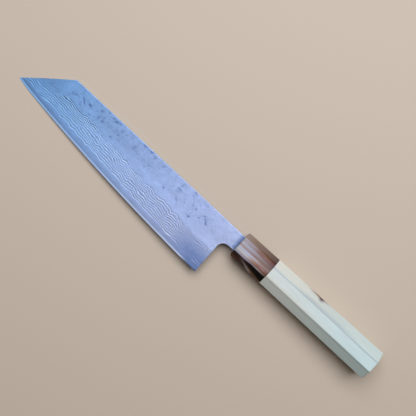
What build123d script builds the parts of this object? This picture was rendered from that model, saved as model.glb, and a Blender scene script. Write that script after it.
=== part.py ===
from build123d import *
import os
from math import asin, atan2, cos, degrees, radians, sin

# A kiritsuke kitchen knife, lying on its side on a table.
# It is built in its own straight frame first: x = 0 at the front face of the ferrule, the handle
# runs towards +X and the blade towards -X, +Y is the spine side, and z = 0 is the blade's middle
# plane. Then it is laid down as it rests: on its tip and on the front edge of its ferrule, with
# the butt of the handle a little off the table.

# Blade outline, seen from its flat side
edge_length = 210.4          # heel to tip, along the handle
heel_height = 47.2           # spine to edge at the heel
heel_angle = 1.96            # degrees: how steeply the edge sets out from the heel
edge_radius = 2105.0         # long sweep of the edge
tip_curve_length = 16.7      # last stretch of the edge, which turns up more
tip_curve_radius = 145.0
back_length = 36.5           # tip to back corner, along the handle
back_bow = 0.3               # outward bow of the slanted back
back_corner_radius = 1.2
spine_rise = 1.65            # the spine climbs this much towards the back corner
spine_bow = 0.2
neck_length = 11.3           # ferrule to heel
neck_height = 14.0           # neck across, at the ferrule
neck_flare = 0.6             # the neck is this much deeper where it meets the choil
heel_lean = 0.8              # the heel line leans forward by this much
choil_radius = 6.2

# Blade thickness: a flat bar, thinner from mid-blade to the tip, ground down to the edge
spine_thickness = 2.4        # at the ferrule
taper_start = 112.0          # ferrule to where the bar begins to thin towards the tip
taper_thickness = 2.32       # thickness there
tip_thickness = 1.5          # the bar's thickness carried on to the tip
grind_height = 23.5          # edge to the top of the ground face, at the heel
bevel_height = 0.95          # sharpened bevel along the edge
bevel_thickness = 0.32       # blade thickness where that bevel starts

# Lamination: the grind lays the hard core bare below a wavy cladding line
cladding_line = 6.8          # edge to cladding line, at the heel
cladding_line_tip = 4.3      # the same at the tip, where the core is drawn thinner
half_wave = 10.5             # mean length of half a wave of that line
wave_height = 0.7            # how far half a wave of mean length bows out
half_wave_shares = (1, 0.6, 1.35, 0.8, 0.5, 1.2, 0.7)
lower_wave_start = 3         # share that the lower face's line starts with, so the faces differ

# Tang
tang_length = 98.0           # inside the handle
tang_end_height = 8.5
tang_end_thickness = 1.8
tang_end_radius = 2.0

# Handle with its ferrule: an eight-sided bar that swells towards the butt
handle_length = 140.2        # with the ferrule
ferrule_length = 32.0
front_width = 23.6           # along the blade's height
front_thickness = 18.5
butt_width = 25.5
butt_thickness = 21.6
front_chamfer = 6.9          # taken off the width at each corner
butt_chamfer = 7.4
chamfer_slope_share = 0.85   # a chamfer's drop, as a share of its width
facet_ease = 0.5             # rounding of the facet edges and the ferrule's front
butt_ease = 1.3

# Joint between ferrule, handle and tang
front_wall = 5.0             # horn left in front of the tenon
tenon_width = 18.5
tenon_thickness = 13.0
glue_gap = 0.1               # tenon to horn, all round
bedding_gap = 0.6            # tang to socket wall, all round
seal_recess = 0.5            # ferrule front to seal
seal_depth = 2.0

# Every cutting solid runs past what it cuts by this much
overrun = 4.0

heel_x = -neck_length
tip_x = heel_x - edge_length
heel_y = neck_height / 2 - heel_height
corner_x = tip_x + back_length
corner_y = neck_height / 2 + spine_rise
bevel_half = bevel_thickness / 2


def follow(start, angle, radius, x):
    """Centre, end and end angle of the arc that leaves start at an angle and rises to x."""
    centre = start + Vector(sin(angle), cos(angle)) * radius
    end_angle = asin((centre.X - x) / radius)
    return centre, centre - Vector(sin(end_angle), cos(end_angle)) * radius, end_angle


heel = Vector(heel_x, heel_y)
edge_centre, turn, turn_angle = follow(heel, radians(heel_angle), edge_radius, tip_x + tip_curve_length)
tip_centre, tip = follow(turn, turn_angle, tip_curve_radius, tip_x)[:2]


bar_stations = ((tip_x, tip_thickness), (-taper_start, taper_thickness), (0, spine_thickness),
                (tang_length, tang_end_thickness))


def bar_half(x):
    """Half the thickness of the unground bar at x: straight from station to station."""
    for (start, thickness), (end, next_thickness) in zip(bar_stations, bar_stations[1:]):
        if x <= end:
            break
    return (thickness + (next_thickness - thickness) * (x - start) / (end - start)) / 2


grind_slope = (bar_half(heel_x) - bevel_half) / (grind_height - bevel_height)


def ground_half(height):
    """Half the thickness of the ground face at a height above the edge."""
    return bevel_half + grind_slope * (height - bevel_height)


def across(x):
    """Plane across the knife at x, with its own x along +Y and its own y along +Z."""
    return Plane(origin=(x, 0, 0), x_dir=(0, 1, 0), z_dir=(1, 0, 0))


def bowed(start, end, bow):
    """Arc from start to end that stands out to its left by bow."""
    a, b = Vector(*start), Vector(*end)
    out = (b - a).normalized().rotate(Axis.Z, 90)
    return ThreePointArc(a, (a + b) / 2 + out * bow, b)


def blade_outline():
    """Flat outline of blade and tang. Below the edge it runs clear, for the grind ends there."""
    root_top = (0, neck_height / 2)
    root_low = (0, -neck_height / 2)
    corner = (corner_x, corner_y)
    below = heel_y - overrun
    back_slope = (corner_y - tip.Y) / back_length
    past_tip = (tip_x - overrun, tip.Y - back_slope * overrun)
    choil = (heel_x - heel_lean, -neck_height / 2 - neck_flare)
    heel_slope = heel_lean / (choil[1] - heel_y)
    heel_low = (heel_x + heel_slope * overrun, below)
    tang_top = (tang_length, tang_end_height / 2)
    tang_low = (tang_length, -tang_end_height / 2)
    lines = Polyline(root_top, tang_top, tang_low, root_low, choil, heel_low,
                     (past_tip[0], below), past_tip, (tip_x, tip.Y))
    lines += bowed((tip_x, tip.Y), corner, back_bow) + bowed(corner, root_top, spine_bow)
    face = make_face(lines)
    for place, radius in ((corner, back_corner_radius), (choil, choil_radius),
                          (tang_top, tang_end_radius), (tang_low, tang_end_radius)):
        face = fillet(face.vertices().sort_by_distance((*place, 0))[0], radius)
    return face


def bar_side():
    """Side view of the forged bar: thickest at the ferrule, thinner at both ends."""
    past_tip, past_end = tip_x - overrun, tang_length + overrun
    stations = (past_tip, -taper_start, 0, past_end)
    upper = [(x, bar_half(x)) for x in stations]
    lower = [(x, -half) for x, half in reversed(upper)]
    return Plane.XZ * make_face(Polyline(*upper, *lower, close=True))


def grind(centre, radius, angle, turned):
    """Ground wedge round an arc of the edge, from the turn in the edge on by an angle."""
    depth = heel_height + back_length
    shoulder = radius - bevel_height
    section = Polyline((radius, 0), (shoulder, bevel_half), (radius - depth, ground_half(depth)),
                       (radius - depth, -ground_half(depth)), (shoulder, -bevel_half), close=True)
    outward = (turn - centre).normalized()
    plane = Plane(origin=centre, x_dir=outward, z_dir=outward.rotate(Axis.Z, 90))
    axis = Axis(centre, (0, 0, turned))
    return revolve(plane * make_face(section), axis, degrees(angle))


def whole_blade():
    """Blade and tang in one: the forged bar, cut to its outline and ground on both faces."""
    trim = extrude(blade_outline(), spine_thickness, both=True)
    bar = extrude(bar_side(), heel_height + back_length, both=True)
    along = (tang_length + overrun - turn.X) / edge_radius
    past = (tip_curve_length + overrun) / tip_curve_radius
    wedge = grind(edge_centre, edge_radius, along, 1) + grind(tip_centre, tip_curve_radius, past, -1)
    return trim & bar & wedge


def core_half(x):
    """Half the core's thickness, waves left out: set by the cladding line at heel and tip."""
    at_heel, at_tip = ground_half(cladding_line), ground_half(cladding_line_tip)
    if x > heel_x:
        return at_heel * bar_half(x) / bar_half(heel_x)
    return at_heel + (at_tip - at_heel) * (heel_x - x) / edge_length


def wavy_line(up, first):
    """One face of the core seen from its side: arcs that bow in and out by turns."""
    wave_share = wave_height * grind_slope / half_wave
    x, side, turns = heel_x, up, first
    lines = Line((tang_length + overrun, up * core_half(tang_length + overrun)), (0, up * core_half(0)))
    lines += Line((0, up * core_half(0)), (x, up * core_half(x)))
    while x > tip_x - overrun:
        length = half_wave * half_wave_shares[turns % len(half_wave_shares)]
        end = x - length
        lines += bowed((x, up * core_half(x)), (end, up * core_half(end)), side * wave_share * length)
        x, side, turns = end, -side, turns + 1
    return lines, (x, up * core_half(x))


def laminate(blade):
    """Core, upper cladding and lower cladding: the blade cut by the core's wavy slab."""
    upper_line, upper_end = wavy_line(1, 0)
    lower_line, lower_end = wavy_line(-1, lower_wave_start)
    past_tang = tang_length + overrun
    ends = Line((past_tang, core_half(past_tang)), (past_tang, -core_half(past_tang)))
    ends += Line(upper_end, lower_end)
    profile = Plane.XZ * make_face(upper_line + lower_line + ends)
    slab = extrude(profile, heel_height + back_length, both=True)
    lower, upper = (blade - slab).solids().sort_by(SortBy.VOLUME)[-2:].sort_by(Axis.Z)
    return blade & slab, upper, lower


def eight_sided_bar():
    """Tapered bar of the handle and ferrule together, with its four long corners cut flat."""
    end = handle_length
    top_view = Polyline((0, -front_width / 2), (end, -butt_width / 2), (end, butt_width / 2),
                        (0, front_width / 2), close=True)
    side_view = Polyline((0, -front_thickness / 2), (end, -butt_thickness / 2),
                         (end, butt_thickness / 2), (0, front_thickness / 2), close=True)
    bar = extrude(make_face(top_view), butt_thickness, both=True)
    bar = bar & extrude(Plane.XZ * make_face(side_view), butt_width, both=True)
    for side in (1, -1):
        for up in (1, -1):
            corner = Vector(0, side * front_width / 2, up * front_thickness / 2)
            on_side = corner - Vector(0, 0, up * front_chamfer * chamfer_slope_share)
            on_face = corner - Vector(0, side * front_chamfer, 0)
            far = Vector(end, side * butt_width / 2, up * butt_thickness / 2)
            far -= Vector(0, side * butt_chamfer, 0)
            normal = (on_side - on_face).cross(far - on_face) * (side * up)
            keep = Keep.BOTTOM if normal.Y * side > 0 else Keep.TOP
            bar = split(bar, Plane(origin=on_face, z_dir=normal), keep=keep)
    ends = bar.edges().filter_by(Plane.YZ)
    long_edges = bar.edges() - ends
    bar = fillet(long_edges, facet_ease)
    bar = fillet(bar.faces().sort_by(Axis.X)[-1].edges(), butt_ease)
    return fillet(bar.faces().sort_by(Axis.X)[0].edges(), facet_ease)


def tenon(gap):
    """Round-ended tongue that joins handle and ferrule, grown by a gap all round."""
    width = tenon_width + 2 * gap
    thickness = tenon_thickness + 2 * gap
    start = front_wall + glue_gap - gap
    return extrude(across(start) * SlotOverall(width, thickness), ferrule_length - start)


def socket():
    """Space for the tang and what beds it, through the ferrule and into the handle."""
    root = neck_height / 2 + bedding_gap
    end = tang_end_height / 2 + bedding_gap
    depth = tang_length + bedding_gap
    outline = Polyline((0, -root), (depth, -end), (depth, end), (0, root), close=True)
    return extrude(make_face(outline), spine_thickness / 2 + bedding_gap, both=True)


def handle_pieces(blade):
    """Ferrule, handle, and the bedding and seal that fill the socket round the tang."""
    bar = eight_sided_bar()
    room = socket()
    joint = Plane(origin=(ferrule_length, 0, 0), z_dir=(1, 0, 0))
    ferrule = split(bar, joint, keep=Keep.BOTTOM) - tenon(glue_gap) - room
    handle = split(bar, joint, keep=Keep.TOP) + tenon(0) - room
    filling = room - blade
    seal_front = Plane(origin=(seal_recess, 0, 0), z_dir=(1, 0, 0))
    seal_back = Plane(origin=(seal_recess + seal_depth, 0, 0), z_dir=(1, 0, 0))
    bedding = split(filling, seal_back, keep=Keep.TOP)
    seal = split(split(filling, seal_back, keep=Keep.BOTTOM), seal_front, keep=Keep.TOP)
    return {"ferrule": ferrule, "handle": handle, "tang_bedding": bedding, "mouth_seal": seal}


def lay_down(pieces):
    """Tip the knife on to its tip and its ferrule's edge, and centre it on the table."""
    drop = degrees(atan2((front_thickness - bevel_thickness) / 2, -tip_x))
    tipped = {name: Rot(0, -drop, 0) * piece for name, piece in pieces.items()}
    box = Compound(list(tipped.values())).bounding_box()
    shift = Pos(-box.center().X, -box.center().Y, -box.min.Z)
    return {name: shift * piece for name, piece in tipped.items()}


def knife():
    """All pieces of the knife by name, laid down."""
    blade = whole_blade()
    core, upper, lower = laminate(blade)
    pieces = {"core_steel": core, "cladding_upper": upper, "cladding_lower": lower}
    pieces.update(handle_pieces(blade))
    return lay_down(pieces)


os.makedirs("parts", exist_ok=True)
for name, piece in knife().items():
    export_step(piece, f"parts/{name}.step")
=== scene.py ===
"""A kiritsuke kitchen knife lying on its side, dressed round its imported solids.

The blade is three pieces of steel: a hard core, which shows along the edge, and a skin of layered
steel on each side of it. A ferrule of horn and a handle of pale wood, both eight-sided, hold its tang.
Each shape is worked out in the knife's own straight frame, in millimetres: x = 0 at the front face of
the ferrule, the handle runs towards +X, the blade towards -X, +Y is the spine side and z = 0 is the
blade's middle plane. It is laid down as the solids lie when its mesh is made.
"""

import logging
import math
from collections.abc import Mapping, Sequence
from dataclasses import dataclass, field
from enum import Enum
from typing import Any, Union

import bmesh
import bpy
import numpy as np
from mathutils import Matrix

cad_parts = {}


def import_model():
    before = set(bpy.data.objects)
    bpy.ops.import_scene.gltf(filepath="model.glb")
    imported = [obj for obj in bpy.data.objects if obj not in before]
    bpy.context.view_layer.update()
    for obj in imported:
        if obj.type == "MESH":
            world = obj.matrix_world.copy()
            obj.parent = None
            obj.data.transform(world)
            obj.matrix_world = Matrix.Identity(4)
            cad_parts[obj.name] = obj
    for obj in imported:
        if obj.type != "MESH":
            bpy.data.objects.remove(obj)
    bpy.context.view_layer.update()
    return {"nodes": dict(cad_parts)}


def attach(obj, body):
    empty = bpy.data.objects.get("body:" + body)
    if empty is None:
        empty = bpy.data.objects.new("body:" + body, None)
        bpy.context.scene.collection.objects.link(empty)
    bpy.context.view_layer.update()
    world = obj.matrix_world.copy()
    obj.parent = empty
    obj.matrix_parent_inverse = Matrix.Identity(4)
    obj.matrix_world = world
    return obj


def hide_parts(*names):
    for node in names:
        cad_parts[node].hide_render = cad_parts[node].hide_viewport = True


LOG = logging.getLogger("knife")
MM = 0.001
BODY = "root"
FAR = 99.0  # stands for the distance to a border that isn't near
GRIP_REACH = 12.0  # about half the grip's width

Array = np.ndarray
Colour = tuple[float, float, float, float]
Tones = tuple[tuple[float, Colour], ...]
Piece = bpy.types.Object
Material = bpy.types.Material
Socket = bpy.types.NodeSocket


class Side(Enum):
    """The two faces of the blade: the one that shows, and the one towards the table."""

    UPPER = 1
    LOWER = -1


# Shapes

@dataclass(frozen=True)
class Rest:
    """How the knife lies: tipped until its point and its ferrule touch the table, and centred.

    drop is the angle, in degrees, by which its axis climbs towards the butt. shift is where the
    middle of the ferrule's front face then stands, in millimetres.
    """

    drop: float = 2.347889
    shift: tuple[float, float, float] = (40.5209, 13.7294, 9.29301)

    def place(self, points: Array) -> Array:
        """Turns points about Y by the drop, so that +X climbs, shifts them, and gives metres."""
        angle = math.radians(self.drop)
        x, y, z = points.T
        along = x * math.cos(angle) - z * math.sin(angle)
        up = x * math.sin(angle) + z * math.cos(angle)
        return (np.stack([along, y, up], 1) + self.shift) * MM


REST = Rest()


def rise(value: Array, low: float | Array, high: float | Array) -> Array:
    """0 below low, 1 above high, and between them 3 s squared minus 2 s cubed of the share s."""
    share = np.clip((value - low) / (high - low), 0.0, 1.0)
    return share * share * (3.0 - 2.0 * share)


def fade(value: Array, low: float, high: float) -> Array:
    """1 below low, 0 above high: the rise turned over."""
    return 1 - rise(value, low, high)


def bell(value: Array, middle: float, width: float) -> Array:
    """A bell of height 1 about middle: e to the minus square of the distance in widths."""
    return np.exp(-((value - middle) / width) ** 2)


def soft_least(a: Array, b: Array, blend: float) -> Array:
    """The smaller of two arrays, rounded by a parabola where they come within blend of each other."""
    near = np.clip(0.5 + 0.5 * (b - a) / blend, 0.0, 1.0)
    return b + (a - b) * near - blend * near * (1.0 - near)


def held_under(size: Array, cap: Array, hardness: float = 6.0) -> Array:
    """A size that levels off under a cap: size over the hardness-th root of 1 + (size / cap) to it."""
    return size / (1.0 + (size / np.maximum(cap, 1e-9)) ** hardness) ** (1.0 / hardness)


@dataclass(frozen=True)
class Ripple:
    """A smooth random field over a plane, between -1 and 1.

    Values drawn for the corners of a lattice of cells are blended by an S-shaped share of the
    way across the cell, or by the plain share where the field is to have kinks.
    """

    seed: int
    cell_along: float
    cell_across: float
    kinked: bool = False
    lattice: int = 64

    def at(self, x: Array, y: Array) -> Array:
        """The field's values at points x, y, given in the same unit as the cells."""
        values = np.random.default_rng(self.seed).uniform(-1.0, 1.0, (self.lattice, self.lattice))
        u, v = np.broadcast_arrays(x / self.cell_along, y / self.cell_across)
        i, j = np.floor(u).astype(int), np.floor(v).astype(int)
        s, t = (u - i, v - j) if self.kinked else (rise(u - i, 0.0, 1.0), rise(v - j, 0.0, 1.0))
        i, j = i % self.lattice, j % self.lattice
        k, m = (i + 1) % self.lattice, (j + 1) % self.lattice
        near = values[i, j] * (1 - s) + values[k, j] * s
        far = values[i, m] * (1 - s) + values[k, m] * s
        return near * (1 - t) + far * t


def graded(parts: Sequence[tuple[float, float, int]]) -> Array:
    """Rising values from stretches given as (from, to, steps), each stretch evenly divided."""
    runs = [np.linspace(start, end, steps, endpoint=False) for start, end, steps in parts]
    return np.concatenate([*runs, [parts[-1][1]]])


def quads(index: Array) -> Array:
    """The four corner numbers of each cell of a grid of point numbers: +X first and then +Y."""
    return np.stack([index[:-1, :-1], index[:-1, 1:], index[1:, 1:], index[1:, :-1]], -1)


def closed_shell(top: Array, bottom: Array, cells: Array) -> tuple[Array, Array, Array]:
    """Shell between two grids of points: both faces, and a wall round their common border.

    The upper grid's cells face up, and the lower grid's cells are turned round. An edge whose
    reverse belongs to no cell lies on the border and gets a wall.

    Args:
        top: upper grid, rows by columns by 3.
        bottom: lower grid of the same shape.
        cells: whether each cell between four neighbouring points is there.

    Returns:
        The numbers of the points used, counted through both grids, the faces' corner numbers
        among those, and the points themselves.
    """
    count = top.shape[0] * top.shape[1]
    corners = quads(np.arange(count).reshape(top.shape[:2]))[cells]
    starts, ends = corners.ravel(), np.roll(corners, -1, 1).ravel()
    border = ~np.isin(starts * count + ends, ends * count + starts)
    a, b = starts[border], ends[border]
    walls = np.stack([b, a, a + count, b + count], 1)
    faces = np.concatenate([corners, corners[:, ::-1] + count, walls])
    used, renumbered = np.unique(faces, return_inverse=True)
    points = np.concatenate([top.reshape(-1, 3), bottom.reshape(-1, 3)])
    return used, renumbered.reshape(faces.shape), points[used]


def make_piece(name: str, points: Array, faces: Array, sharp_angle: float,
               fields: Mapping[str, Array] | None = None) -> Piece:
    """Makes a mesh of points in the knife's frame, welds it and shades it.

    Args:
        name: name of the piece.
        points: its points, in millimetres.
        faces: four corner numbers a face.
        sharp_angle: edges that turn by more than this many degrees stay crisp.
        fields: values kept at the points for the materials, by name.

    Returns:
        The object, at the origin.
    """
    mesh = bpy.data.meshes.new(name)
    mesh.from_pydata(REST.place(points).tolist(), [], faces.tolist())
    for field_name, values in (fields or {}).items():
        attribute = mesh.attributes.new(field_name, "FLOAT", "POINT")
        attribute.data.foreach_set("value", values.astype(np.float32))
    shell = bmesh.new()
    shell.from_mesh(mesh)
    bmesh.ops.remove_doubles(shell, verts=shell.verts, dist=1e-7)
    bmesh.ops.dissolve_degenerate(shell, edges=shell.edges, dist=1e-8)
    shell.to_mesh(mesh)
    shell.free()
    mesh.shade_smooth()
    mesh.set_sharp_from_angle(angle=math.radians(sharp_angle))
    piece = bpy.data.objects.new(name, mesh)
    bpy.context.scene.collection.objects.link(piece)
    return piece


@dataclass(frozen=True)
class Outline:
    """The blade's outline seen from its flat side, from the same sizes as its solids."""

    edge_length: float = 210.4
    heel_height: float = 47.2
    heel_angle: float = 1.96
    edge_radius: float = 2105.0
    tip_curve_length: float = 16.7
    tip_curve_radius: float = 145.0
    back_length: float = 36.5
    back_bow: float = 0.3
    corner_round: float = 0.3
    spine_rise: float = 1.65
    spine_bow: float = 0.2
    neck_length: float = 11.3
    neck_height: float = 14.0
    neck_flare: float = 0.6
    heel_lean: float = 0.8
    choil_radius: float = 6.2
    tang_length: float = 98.0
    tang_end_height: float = 8.5
    tang_end_radius: float = 2.0

    @property
    def heel(self) -> Array:
        """The corner where the edge ends, next to the handle."""
        return np.array([-self.neck_length, self.neck_height / 2 - self.heel_height])

    @property
    def tip_x(self) -> float:
        """How far the tip is from the ferrule."""
        return -self.neck_length - self.edge_length

    @property
    def corner(self) -> Array:
        """The corner where the spine meets the slanted back."""
        return np.array([self.tip_x + self.back_length, self.neck_height / 2 + self.spine_rise])

    @property
    def long_centre(self) -> Array:
        """Centre of the edge's long arc, square to the edge at the heel."""
        angle = math.radians(self.heel_angle)
        return self.heel + self.edge_radius * np.array([math.sin(angle), math.cos(angle)])

    @property
    def turn(self) -> Array:
        """Where the long arc gives way to the tip's arc."""
        x = self.tip_x + self.tip_curve_length
        centre = self.long_centre
        return np.array([x, centre[1] - math.sqrt(self.edge_radius ** 2 - (x - centre[0]) ** 2)])

    @property
    def tip_centre(self) -> Array:
        """Centre of the tip's arc, in line with the turn and the long arc's centre."""
        inward = (self.long_centre - self.turn) / self.edge_radius
        return self.turn + self.tip_curve_radius * inward

    def edge(self, x: Array) -> tuple[Array, Array]:
        """Height of the edge at x, and how much its slope shortens what is measured square to it."""
        by_tip = x < self.turn[0]
        radius = np.where(by_tip, self.tip_curve_radius, self.edge_radius)
        centre_x = np.where(by_tip, self.tip_centre[0], self.long_centre[0])
        centre_y = np.where(by_tip, self.tip_centre[1], self.long_centre[1])
        drop = np.sqrt(radius ** 2 - (x - centre_x) ** 2)
        return centre_y - drop, drop / radius

    def from_edge(self, x: Array, y: Array) -> Array:
        """Distance from the edge: an arc's radius less the distance from that arc's centre."""
        inward = self.long_centre - self.turn
        by_tip = (x - self.turn[0]) * inward[1] - (y - self.turn[1]) * inward[0] < 0
        tip_side = self.tip_curve_radius - np.hypot(x - self.tip_centre[0], y - self.tip_centre[1])
        long_side = self.edge_radius - np.hypot(x - self.long_centre[0], y - self.long_centre[1])
        return np.where(by_tip, tip_side, long_side)

    def back(self, x: Array) -> Array:
        """Height of the slanted back, of the spine, or of the tang's upper side, at x."""
        tip_y = self.edge(np.array(self.tip_x))[0]
        rise = self.corner[1] - tip_y
        share = (x - self.tip_x) / self.back_length
        slant = math.hypot(self.back_length, rise) / self.back_length
        slanted = tip_y + rise * share + 4 * self.back_bow * slant * share * (1 - share)
        run = x / self.corner[0]
        spine = self.neck_height / 2 + self.spine_rise * run + 4 * self.spine_bow * run * (1 - run)
        return np.where(x > 0, self.tang(x), soft_least(slanted, spine, self.corner_round))

    def tang(self, x: Array) -> Array:
        """Half the tang's height: a straight taper whose end is rounded by a quarter circle."""
        taper = (self.tang_end_height - self.neck_height) / 2 / self.tang_length
        into = np.clip(x - self.tang_length + self.tang_end_radius, 0, self.tang_end_radius)
        rounding = self.tang_end_radius - np.sqrt(self.tang_end_radius ** 2 - into ** 2)
        return self.neck_height / 2 + taper * x - rounding

    def choil(self) -> tuple[Array, Array, Array]:
        """Centre of the rounding between heel and neck, and its ends on the heel and on the neck."""
        corner = np.array([self.heel[0] - self.heel_lean, -self.neck_height / 2 - self.neck_flare])
        root = np.array([0.0, -self.neck_height / 2])
        down = (self.heel - corner) / np.linalg.norm(self.heel - corner)
        out = (root - corner) / np.linalg.norm(root - corner)
        half = math.acos(float(down @ out)) / 2
        bisector = (down + out) / np.linalg.norm(down + out)
        reach = self.choil_radius / math.tan(half)
        centre = corner + bisector * self.choil_radius / math.sin(half)
        return centre, corner + down * reach, corner + out * reach


@dataclass(frozen=True)
class Thickness:
    """Half thicknesses of the blade: a forged bar, the faces ground on it, and the core inside."""

    outline: Outline
    stations: tuple[float, ...] = (-221.7, -112.0, 0.0, 98.0)
    thicknesses: tuple[float, ...] = (1.5, 2.32, 2.4, 1.8)
    grind_height: float = 23.5
    bevel_height: float = 0.95
    bevel_thickness: float = 0.32
    line_at_heel: float = 4.2
    line_rise: float = 2.1
    line_fall: float = 3.0
    line_wave: float = 0.8

    @property
    def slope(self) -> float:
        """How much half the thickness grows with each millimetre from the edge."""
        top = self.bar(self.outline.heel[0]) - self.bevel_thickness / 2
        return float(top / (self.grind_height - self.bevel_height))

    def bar(self, x: Array) -> Array:
        """Half the bar's thickness at x, straight between its stations."""
        return np.interp(x, self.stations, self.thicknesses) / 2

    def ground(self, height: Array) -> Array:
        """Half the thickness of the ground face at a height above the edge, with its bevel."""
        bevel = self.bevel_thickness / 2
        above = bevel + self.slope * (height - self.bevel_height)
        return np.where(height < self.bevel_height, bevel * height / self.bevel_height, above)

    def grind_line(self, x: Array) -> Array:
        """Height above the edge where the ground face reaches the bar's full thickness."""
        return self.bevel_height + (self.bar(x) - self.bevel_thickness / 2) / self.slope

    def even_line(self, x: Array) -> Array:
        """Height above the edge where the skin of layered steel ends, without its waves."""
        share = np.clip((self.outline.heel[0] - x) / self.outline.edge_length, 0, 1)
        begun = self.line_at_heel + self.line_rise * rise(share, 0, 0.36)
        return begun - self.line_fall * rise(share, 0.8, 1.02)

    def cladding_line(self, x: Array, side: Side) -> Array:
        """Height above the edge where the skin of layered steel ends, waves included."""
        long_wave = Ripple(31 * side.value + 40, 4.4, 1.0, kinked=True).at(x, 0.0)
        short_wave = Ripple(17 * side.value + 60, 2.3, 1.0).at(x, 0.0)
        return self.even_line(x) + self.line_wave * (long_wave + 0.4 * short_wave)


@dataclass(frozen=True)
class Hammering:
    """Marks of the forge on the flat above the ground face: dents and wrinkles, small ones round them.

    Each mark is given as its x and y, half its length and width, the turn of its length in degrees,
    and its depth as a share of the deepest.
    """

    marks: tuple[tuple[float, ...], ...] = (
        (-178.5, -1.2, 2.2, 0.8, 25, 0.5), (-169.5, -0.3, 2.7, 0.55, -40, 1.0),
        (-170.2, -4.6, 0.8, 0.6, 0, 0.8), (-163.2, 0.3, 1.7, 0.6, -20, 1.0),
        (-162.9, 1.0, 1.2, 0.5, 45, 0.8), (-159.2, -5.4, 0.9, 0.7, 0, 0.4),
        (-152.9, 3.4, 1.4, 0.7, 40, 0.4), (-151.8, -2.3, 1.6, 0.55, 80, 0.9),
        (-147.2, -2.8, 1.3, 0.8, 10, 0.8), (-147.7, 7.0, 1.0, 0.6, -30, 0.7),
        (-141.5, 5.6, 1.2, 0.7, 20, 0.7), (-138.0, 4.9, 1.5, 0.6, -35, 0.8),
        (-134.8, 5.9, 1.2, 0.6, 30, 0.7), (-129.8, 2.4, 2.0, 1.4, 70, 0.4),
        (-134.0, -7.2, 0.9, 0.7, 0, 0.7), (-113.5, -1.0, 1.6, 1.2, 80, 0.35),
        (-108.0, 6.3, 2.2, 0.6, 5, 0.6), (-101.0, 6.3, 1.6, 0.6, 0, 0.6), (-96.2, 4.6, 1.1, 0.9, -60, 0.45),
        (-95.6, -3.4, 0.9, 0.8, 0, 0.45), (-85.6, 4.2, 1.1, 0.8, 60, 0.6),
        (-74.8, -8.2, 1.0, 0.7, -45, 0.9), (-64.4, 3.6, 1.5, 0.6, 70, 0.45),
        (-63.6, -0.5, 1.7, 0.5, 2, 0.7), (-64.5, -3.2, 0.7, 0.4, 60, 0.4),
        (-60.8, -8.5, 2.4, 0.35, -42, 0.7), (-52.7, 6.2, 1.2, 0.6, 0, 0.6),
        (-50.6, 1.6, 1.4, 0.4, -45, 0.4), (-47.6, -2.2, 1.6, 0.4, -50, 0.5),
        (-44.0, -3.3, 0.9, 0.6, -60, 0.8), (-44.6, -11.8, 1.1, 0.8, 40, 1.0),
        (-37.9, -6.9, 0.9, 0.6, 40, 0.7), (-34.9, -3.2, 1.2, 0.5, 40, 0.65),
        (-32.4, -5.0, 2.4, 0.45, -42, 0.7), (-30.4, -7.2, 1.0, 0.7, -30, 1.0),
        (-23.2, -3.2, 1.0, 0.5, -50, 0.6))
    followers: int = 2
    spread: float = 2.2
    scattered: int = 130
    band: float = 15.0
    depth: float = 0.08

    def pits(self, outline: Outline, side: Side) -> Array:
        """Places, half lengths and widths, turns and depths of the pits, one row each."""
        draw = np.random.default_rng(7 + side.value)
        marks = np.array(self.marks, float)
        marks[:, 4] = np.radians(marks[:, 4])
        near = np.repeat(marks, self.followers, 0)
        near[:, :2] += draw.normal(0, self.spread, (len(near), 2))
        near[:, 2:] *= (0.5, 0.8, 1.0, 0.45)
        reach = draw.uniform(-184, -22, self.scattered)
        below = 0.6 + self.band * draw.uniform(0, 1, self.scattered) ** 1.6
        loose = np.stack([reach, outline.back(reach) - below, draw.uniform(0.4, 1.0, self.scattered),
                          draw.uniform(0.35, 0.6, self.scattered), draw.uniform(0, math.pi, self.scattered),
                          draw.uniform(0.15, 0.5, self.scattered)], 1)
        every = np.concatenate([marks, near, loose])
        if side is Side.LOWER:
            every[:, 0] = -205 - every[:, 0]
        every[:, 5] *= self.depth
        return every

    def depth_at(self, outline: Outline, side: Side, x: Array, y: Array) -> Array:
        """How deep the pits are at points x, y: the sum of tilted bell shapes, one for each pit."""
        total = np.zeros_like(x)
        for px, py, long, wide, turn, deep in self.pits(outline, side):
            near = (np.abs(x - px) < 4 * long) & (np.abs(y - py) < 4 * long)
            dx, dy = x[near] - px, y[near] - py
            along = (dx * math.cos(turn) + dy * math.sin(turn)) / long
            across = (dy * math.cos(turn) - dx * math.sin(turn)) / wide
            total[near] += deep * np.exp(-(along ** 2 + across ** 2))
        return total


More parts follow.
